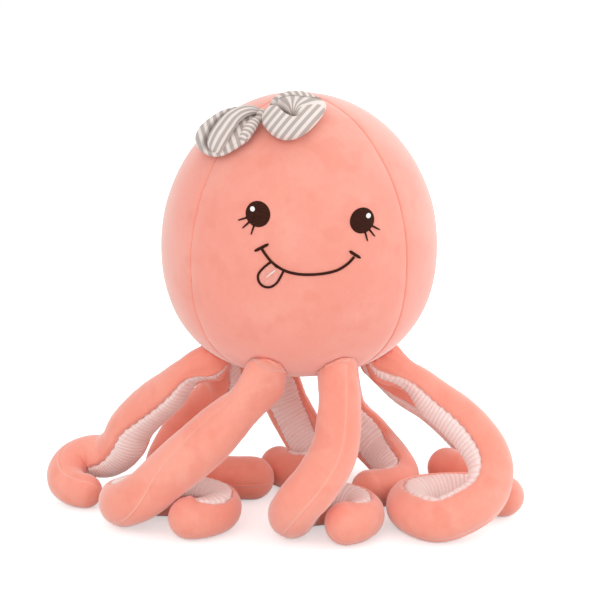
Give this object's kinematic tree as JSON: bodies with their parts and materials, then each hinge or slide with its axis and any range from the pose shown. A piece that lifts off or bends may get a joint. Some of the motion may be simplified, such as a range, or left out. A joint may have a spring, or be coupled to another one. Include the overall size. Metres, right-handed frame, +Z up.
{
  "type": "plush octopus",
  "caption": "Stuffed octopus with a round sewn head, an embroidered smiling face, a striped bow and curling arms that lift at their roots.",
  "frame": {"origin": "on the floor under the middle of the toy's footprint, which is 14 mm to the left of the head's axis", "axes": "+Z up, the face looks along -Y, +X to the right of someone who looks at the face"},
  "size_m": [0.4236, 0.2458, 0.3732],
  "materials": {
    "coral_velour": "matte",
    "ribbed_cloth": "satin",
    "bow_cloth": "matte",
    "face_thread": "satin",
    "pale_thread": "satin",
    "tongue_thread": "satin",
    "stuffing": "matte"
  },
  "bodies": {
    "head": {"head_front_gore": "coral_velour", "head_right_gore": "coral_velour", "head_back_gore": "coral_velour", "head_left_gore": "coral_velour", "head_filling": "stuffing", "left_eye": "face_thread", "right_eye": "face_thread", "left_highlight": "pale_thread", "right_highlight": "pale_thread", "left_lash_upper": "face_thread", "left_lash_middle": "face_thread", "left_lash_lower": "face_thread", "right_lash_upper": "face_thread", "right_lash_middle": "face_thread", "right_lash_lower": "face_thread", "mouth": "face_thread", "tongue_outline": "face_thread", "tongue": "tongue_thread", "tongue_middle_line": "pale_thread", "bow_left_loop": "bow_cloth", "bow_right_loop": "bow_cloth", "bow_knot": "bow_cloth"},
    "arm_left": {"arm_left": "coral_velour", "ribbed_strip_left": "ribbed_cloth"},
    "arm_front_left": {"arm_front_left": "coral_velour", "ribbed_strip_front_left": "ribbed_cloth"},
    "arm_front_right": {"arm_front_right": "coral_velour", "ribbed_strip_front_right": "ribbed_cloth"},
    "arm_right": {"arm_right": "coral_velour", "ribbed_strip_right": "ribbed_cloth"},
    "arm_back_right": {"arm_back_right": "coral_velour", "ribbed_strip_back_right": "ribbed_cloth"},
    "arm_rear_right": {"arm_rear_right": "coral_velour", "ribbed_strip_rear_right": "ribbed_cloth"},
    "arm_rear_left": {"arm_rear_left": "coral_velour", "ribbed_strip_rear_left": "ribbed_cloth"},
    "arm_back_left": {"arm_back_left": "coral_velour", "ribbed_strip_back_left": "ribbed_cloth"}
  },
  "joints": [
    {"name": "lift_left", "type": "hinge", "parent": "head", "child": "arm_left", "pos_m": [-0.06163, -0.01345, 0.12099], "axis": [-0.3907, 0.9205, 0], "range_deg": [0, 25]},
    {"name": "lift_front_left", "type": "hinge", "parent": "head", "child": "arm_front_left", "pos_m": [-0.02626, -0.06213, 0.12099], "axis": [-0.8572, 0.515, 0], "range_deg": [0, 25]},
    {"name": "lift_front_right", "type": "hinge", "parent": "head", "child": "arm_front_right", "pos_m": [0.04715, -0.06534, 0.12099], "axis": [-0.9781, 0.2079, 0], "range_deg": [0, 25]},
    {"name": "lift_right", "type": "hinge", "parent": "head", "child": "arm_right", "pos_m": [0.08742, -0.01735, 0.12099], "axis": [-0.1908, -0.9816, 0], "range_deg": [0, 25]},
    {"name": "lift_back_right", "type": "hinge", "parent": "head", "child": "arm_back_right", "pos_m": [0.08742, 0.0251, 0.12099], "axis": [0.2756, -0.9613, 0], "range_deg": [0, 25]},
    {"name": "lift_rear_right", "type": "hinge", "parent": "head", "child": "arm_rear_right", "pos_m": [0.04715, 0.07308, 0.12099], "axis": [0.9903, -0.1392, 0], "range_deg": [0, 20]},
    {"name": "lift_rear_left", "type": "hinge", "parent": "head", "child": "arm_rear_left", "pos_m": [-0.00783, 0.07789, 0.12099], "axis": [0.866, 0.5, 0], "range_deg": [0, 25]},
    {"name": "lift_back_left", "type": "hinge", "parent": "head", "child": "arm_back_left", "pos_m": [-0.05748, 0.03396, 0.12099], "axis": [0.7986, 0.6018, 0], "range_deg": [0, 10]}
  ]
}
